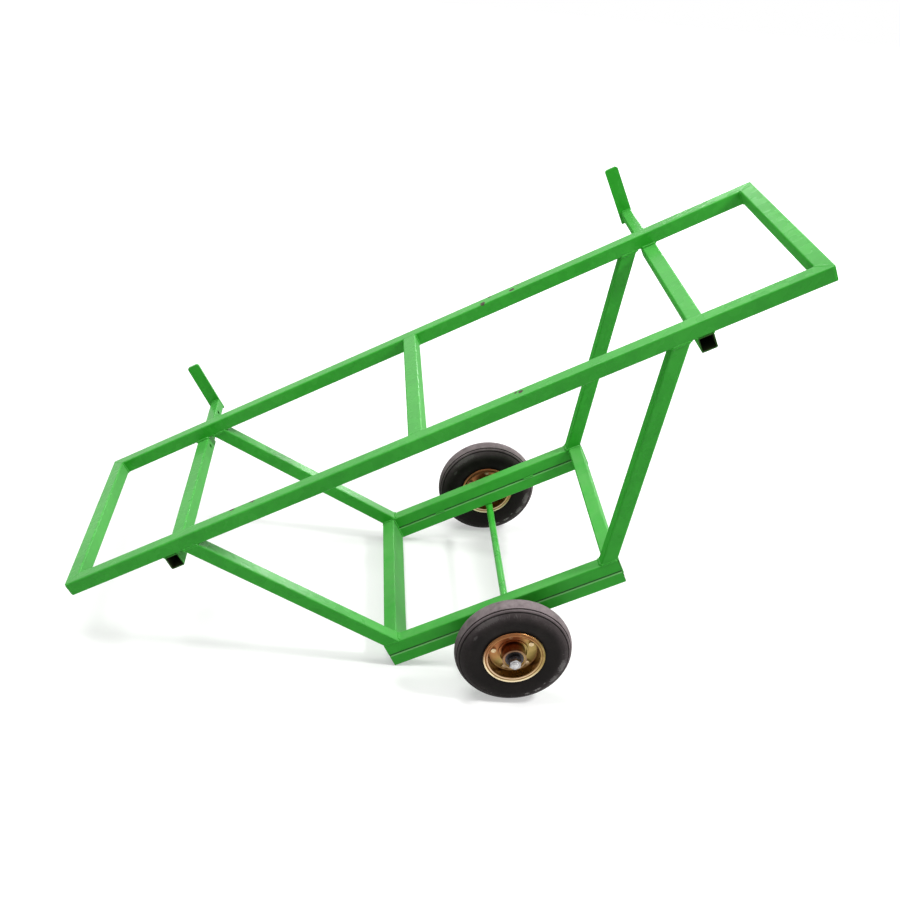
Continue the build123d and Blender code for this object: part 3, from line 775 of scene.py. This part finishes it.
def make_floor():
    """A pale floor, which goes over into the white background away from the cart."""
    half = FLOOR_HALF
    mesh = bpy.data.meshes.new("floor")
    corners = [(-half, -half, 0), (half, -half, 0), (half, half, 0), (-half, half, 0)]
    mesh.from_pydata(corners, [], [(0, 1, 2, 3)])
    floor = bpy.data.objects.new("floor", mesh)
    bpy.context.scene.collection.objects.link(floor)
    finish = Finish("pale_floor")
    x, y, _ = finish.split(finish.place)
    away = finish.math("SQRT", finish.squares(x, y))
    glow = finish.times(finish.seen(), finish.span(away, 1.6, 4.5, 0.42, 1.0))
    finish.set(Base_Color=finish.mix(finish.noise(3.0, 3.0), *FLOOR_GREYS), Emission_Strength=glow)
    finish.set(Roughness=0.9, Emission_Color=WHITE, Specular_IOR_Level=0.1)
    mesh.materials.append(finish.material)


def make_world():
    """White where it is seen, and a soft light that is stronger from the right."""
    world = bpy.data.worlds.new("studio")
    bpy.context.scene.world = world
    world.use_nodes = True
    graph = Graph(world.node_tree)
    way = graph.split(graph.add("ShaderNodeTexCoord").outputs["Generated"])
    soft = graph.span(way["X"], -1.0, 1.0, *SOFT_LIGHT, smooth=False)
    background = graph.tree.nodes["Background"].inputs
    graph.feed(background["Strength"], graph.span(graph.seen(), 0.0, 1.0, soft, 1.0, smooth=False))
    graph.feed(background["Color"], WHITE)


def make_lamp(name, position, target, size, power):
    lamp = bpy.data.lights.new(name, "AREA")
    lamp.shape = "DISK"
    lamp.size = size
    lamp.energy = power
    holder = bpy.data.objects.new(name, lamp)
    holder.location = position
    holder.rotation_euler = (Vector(target) - Vector(position)).to_track_quat("-Z", "Y").to_euler()
    bpy.context.scene.collection.objects.link(holder)


make_floor()
make_world()
for settings in LAMPS:
    make_lamp(*settings)


# The camera's place was fitted to the tube edges of the level cart, so it turns with the cart. The size of the
# picture, the focal length and the point opposite the lens are in the photo's pixels.
PICTURE, FOCAL_LENGTH, MIDDLE_X, MIDDLE_Y = 900.0, 1073.74, 400.0, 600.0
CAMERA_AIM, CAMERA_AWAY = Vector((-54.34, -999.32, DECK_TOP)), 2174.44
AZIMUTH, ELEVATION, ROLL = math.radians(15.943), math.radians(32.814), math.radians(-29.529)


def make_camera():
    camera = bpy.data.cameras.new("camera")
    camera.sensor_width = 36.0
    camera.lens = FOCAL_LENGTH / PICTURE * camera.sensor_width
    camera.shift_x = (PICTURE / 2 - MIDDLE_X) / PICTURE
    camera.shift_y = (MIDDLE_Y - PICTURE / 2) / PICTURE
    camera.clip_end = 60.0
    sin_a, cos_a = math.sin(AZIMUTH), math.cos(AZIMUTH)
    sin_e, cos_e = math.sin(ELEVATION), math.cos(ELEVATION)
    back = Vector((sin_a * cos_e, -cos_a * cos_e, sin_e))
    right = Vector((cos_a, sin_a, 0))
    up = Vector((-sin_a * sin_e, cos_a * sin_e, cos_e))
    rolled_right = right * math.cos(ROLL) + up * math.sin(ROLL)
    rolled_up = up * math.cos(ROLL) - right * math.sin(ROLL)
    turn = Matrix((rolled_right, rolled_up, back)).transposed().to_4x4()
    holder = bpy.data.objects.new("camera", camera)
    holder.matrix_world = resting @ Matrix.Translation((CAMERA_AIM + back * CAMERA_AWAY) * MM) @ turn
    bpy.context.scene.collection.objects.link(holder)
    bpy.context.scene.camera = holder


make_camera()
bpy.context.scene.view_settings.view_transform = "Standard"
